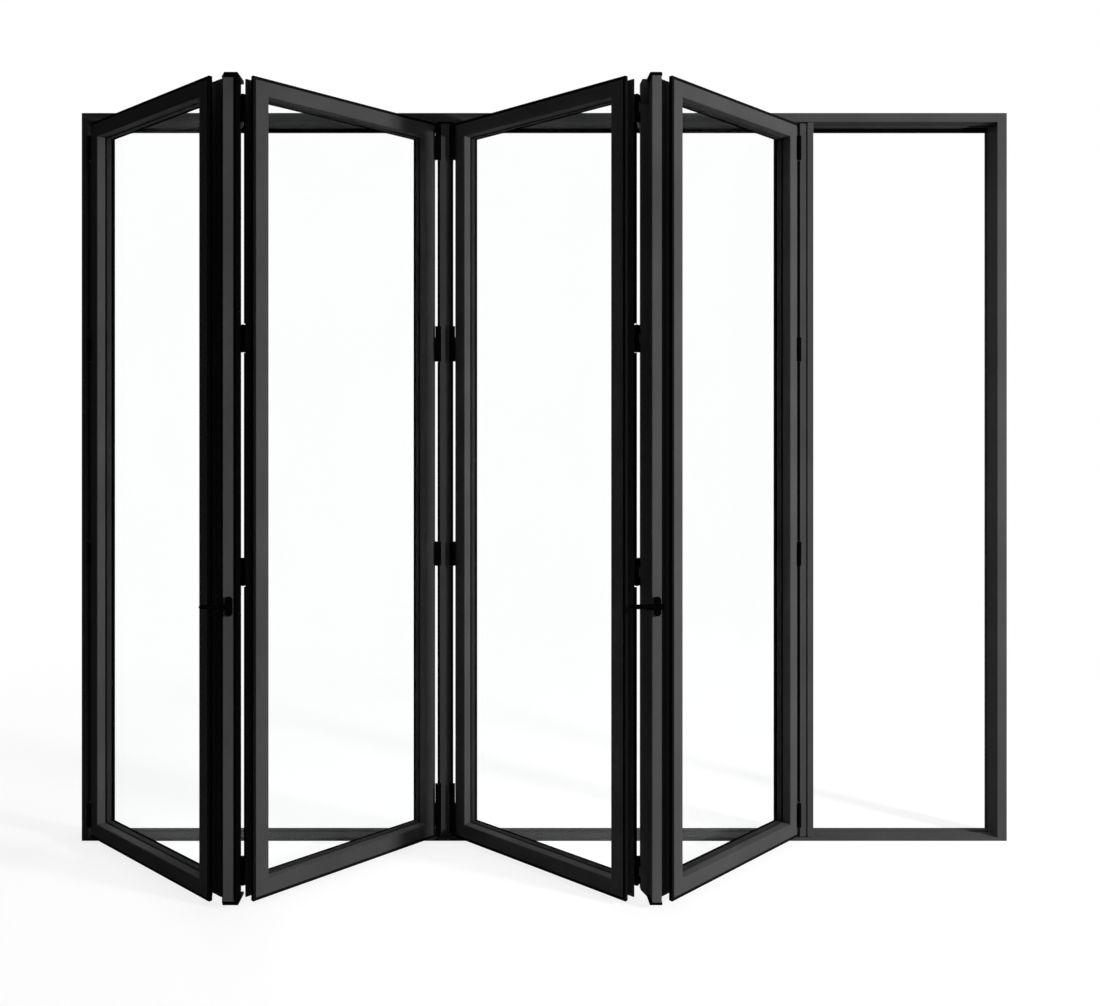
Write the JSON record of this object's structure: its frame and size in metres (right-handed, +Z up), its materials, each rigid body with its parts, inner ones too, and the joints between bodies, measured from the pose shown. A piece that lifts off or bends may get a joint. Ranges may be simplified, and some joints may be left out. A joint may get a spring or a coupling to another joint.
{
  "type": "bifold glass patio door",
  "caption": "Black aluminium folding patio door, part folded: glazed leaves hinged to slim posts that run in a head track and sill groove, with lever handles and an open bay.",
  "frame": {"origin": "middle of the sill's underside, halfway along the opening and halfway through the frame's depth", "axes": "+X along the sill towards the open bay, +Y from outside to the room, so the leaves fold towards -Y, +Z up"},
  "size_m": [3.05, 0.6139, 2.4],
  "materials": {
    "frame_coat": "black satin powder coat",
    "leaf_coat": "black satin powder coat",
    "handle_coat": "deep black satin coat",
    "glass": "clear sealed unit",
    "rubber": "matt black",
    "steel": "plain zinc-plated",
    "nylon": "matt black"
  },
  "bodies": {
    "door": {"head": "frame_coat", "sill": "frame_coat", "jamb_left": "frame_coat", "jamb_right": "frame_coat", "leaf_a_hinge_stile": "leaf_coat", "leaf_a_lock_stile": "leaf_coat", "leaf_a_bottom_rail": "leaf_coat", "leaf_a_top_rail": "leaf_coat", "leaf_a_glass": "glass", "leaf_a_glazing_bead": "leaf_coat", "leaf_a_edge_seal": "rubber", "leaf_b_hinge_stile": "leaf_coat", "leaf_b_lock_stile": "leaf_coat", "leaf_b_bottom_rail": "leaf_coat", "leaf_b_top_rail": "leaf_coat", "leaf_b_glass": "glass", "leaf_b_glazing_bead": "leaf_coat", "leaf_b_edge_seal": "rubber", "leaf_c_hinge_stile": "leaf_coat", "leaf_c_lock_stile": "leaf_coat", "leaf_c_bottom_rail": "leaf_coat", "leaf_c_top_rail": "leaf_coat", "leaf_c_glass": "glass", "leaf_c_glazing_bead": "leaf_coat", "leaf_c_edge_seal": "rubber", "leaf_d_hinge_stile": "leaf_coat", "leaf_d_lock_stile": "leaf_coat", "leaf_d_bottom_rail": "leaf_coat", "leaf_d_top_rail": "leaf_coat", "leaf_d_glass": "glass", "leaf_d_glazing_bead": "leaf_coat", "leaf_d_edge_seal": "rubber", "near_post_1": "leaf_coat", "near_post_2": "leaf_coat", "far_post": "leaf_coat", "end_post": "leaf_coat", "closing_strip": "leaf_coat", "escutcheon_1": "handle_coat", "escutcheon_2": "handle_coat", "far_post_carriage": "steel", "far_post_guide_shoe": "nylon", "end_post_carriage": "steel", "end_post_guide_shoe": "nylon"},
    "handle_1": {"lever_1": "handle_coat"},
    "handle_2": {"lever_2": "handle_coat"}
  },
  "joints": [
    {"name": "lever_1_turn", "type": "hinge", "parent": "door", "child": "handle_1", "pos_m": [-0.92164, -0.53189, 0.862], "axis": [0, -1, 0], "range_deg": [0, 90]},
    {"name": "lever_2_turn", "type": "hinge", "parent": "door", "child": "handle_2", "pos_m": [0.29068, -0.53189, 0.862], "axis": [0, -1, 0], "range_deg": [0, 90]}
  ]
}
